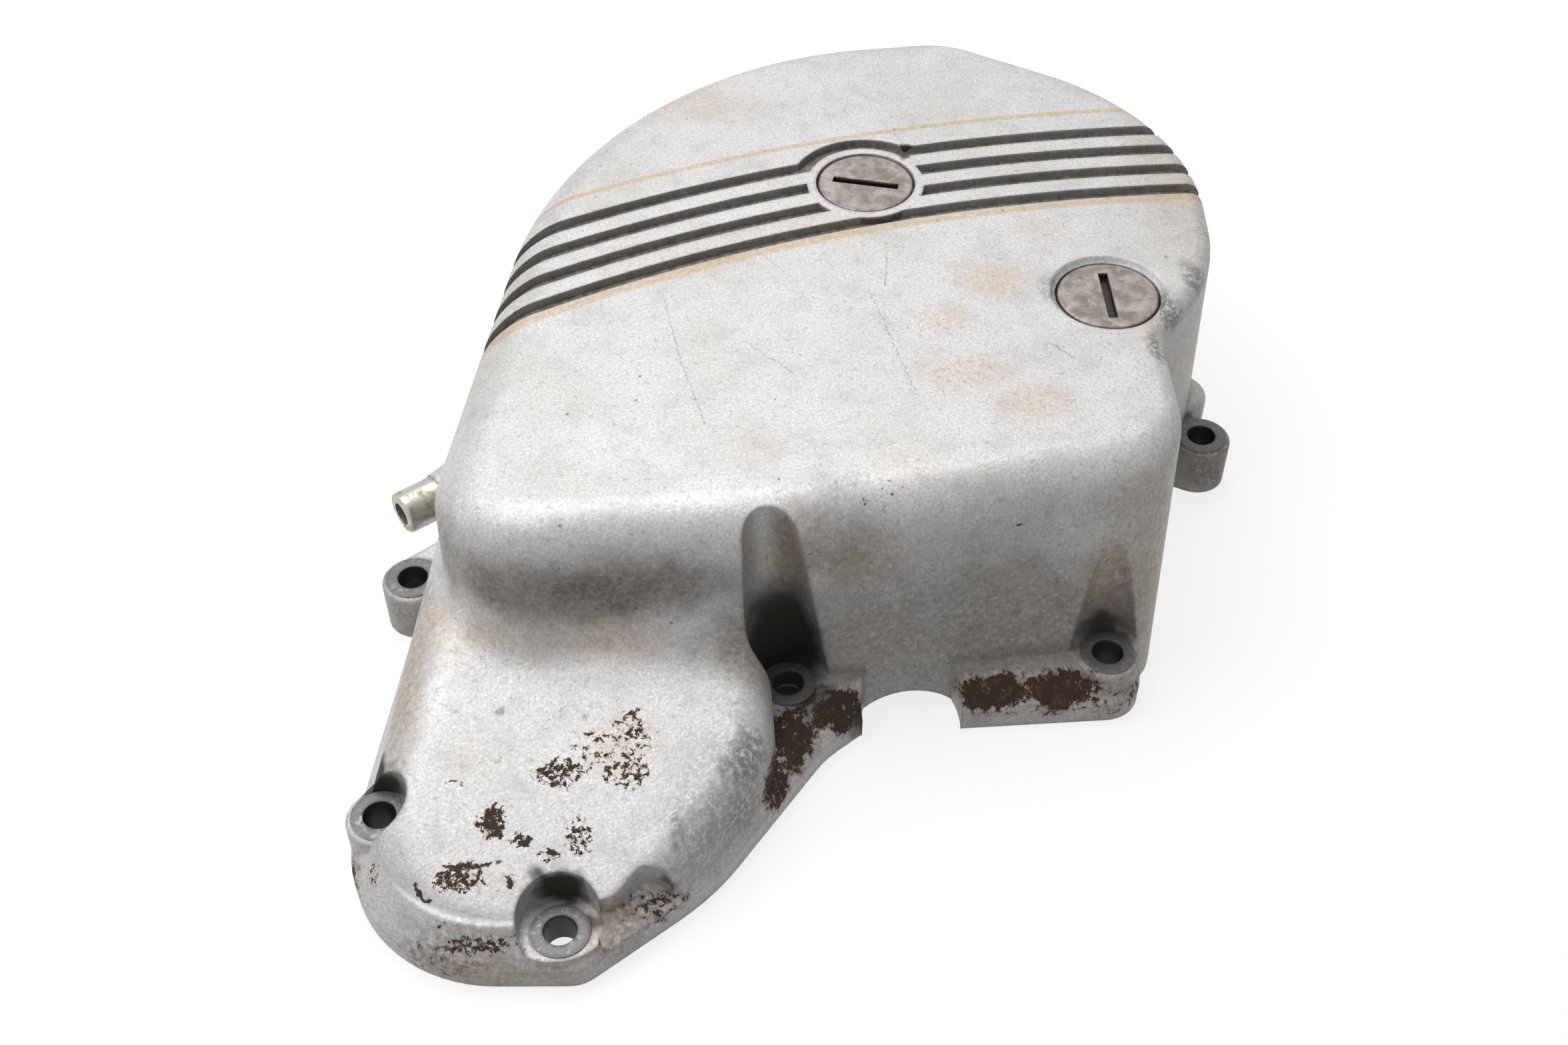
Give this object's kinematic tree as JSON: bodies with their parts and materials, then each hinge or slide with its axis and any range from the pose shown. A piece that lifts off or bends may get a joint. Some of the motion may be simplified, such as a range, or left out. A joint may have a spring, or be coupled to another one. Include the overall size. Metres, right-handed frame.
{
  "type": "engine stator cover",
  "caption": "Domed cast cover with a low side lobe, ribbed grooves across the roof, two slotted screw plugs, bolt bosses around a flat gasket face and a hose nipple.",
  "frame": {"origin": "centre of the bounding box's footprint, in the plane of the gasket face", "axes": "+Z out of the engine, square to the gasket face; +Y from the starter gear lobe towards the crankshaft axis; +X completes the right-handed frame"},
  "size_m": [0.2076, 0.2726, 0.06],
  "materials": {
    "cast_aluminium": "sand-textured silver paint over a casting, stained and pitted by corrosion",
    "plug_alloy": "dull, scuffed",
    "seal_rubber": "matte",
    "nipple_steel": "dull, stained"
  },
  "bodies": {
    "housing": {"cover": "cast_aluminium", "hose_nipple": "nipple_steel"},
    "crank_plug": {"crank_plug": "plug_alloy"},
    "crank_seal": {"crank_plug_seal": "seal_rubber"},
    "timing_plug": {"timing_plug": "plug_alloy"},
    "timing_seal": {"timing_plug_seal": "seal_rubber"}
  },
  "joints": [
    {"name": "crank_plug_lift", "type": "slide", "parent": "housing", "child": "crank_seal", "axis": [0, 0, 1], "range_m": [0, 0.009]},
    {"name": "crank_plug_turn", "type": "hinge", "parent": "crank_seal", "child": "crank_plug", "pos_m": [0.01135, 0.05455, 0.06], "axis": [0, 0, 1], "range_deg": [0, 2160]},
    {"name": "timing_plug_lift", "type": "slide", "parent": "housing", "child": "timing_seal", "axis": [0, 0, 1], "range_m": [0, 0.009]},
    {"name": "timing_plug_turn", "type": "hinge", "parent": "timing_seal", "child": "timing_plug", "pos_m": [0.06655, 0.01055, 0.06], "axis": [0, 0, 1], "range_deg": [0, 2160]}
  ],
  "couplings": [
    {"joint": "crank_plug_lift", "follows": "crank_plug_turn", "m_per_rad": 0.00023873},
    {"joint": "timing_plug_lift", "follows": "timing_plug_turn", "m_per_rad": 0.00023873}
  ]
}
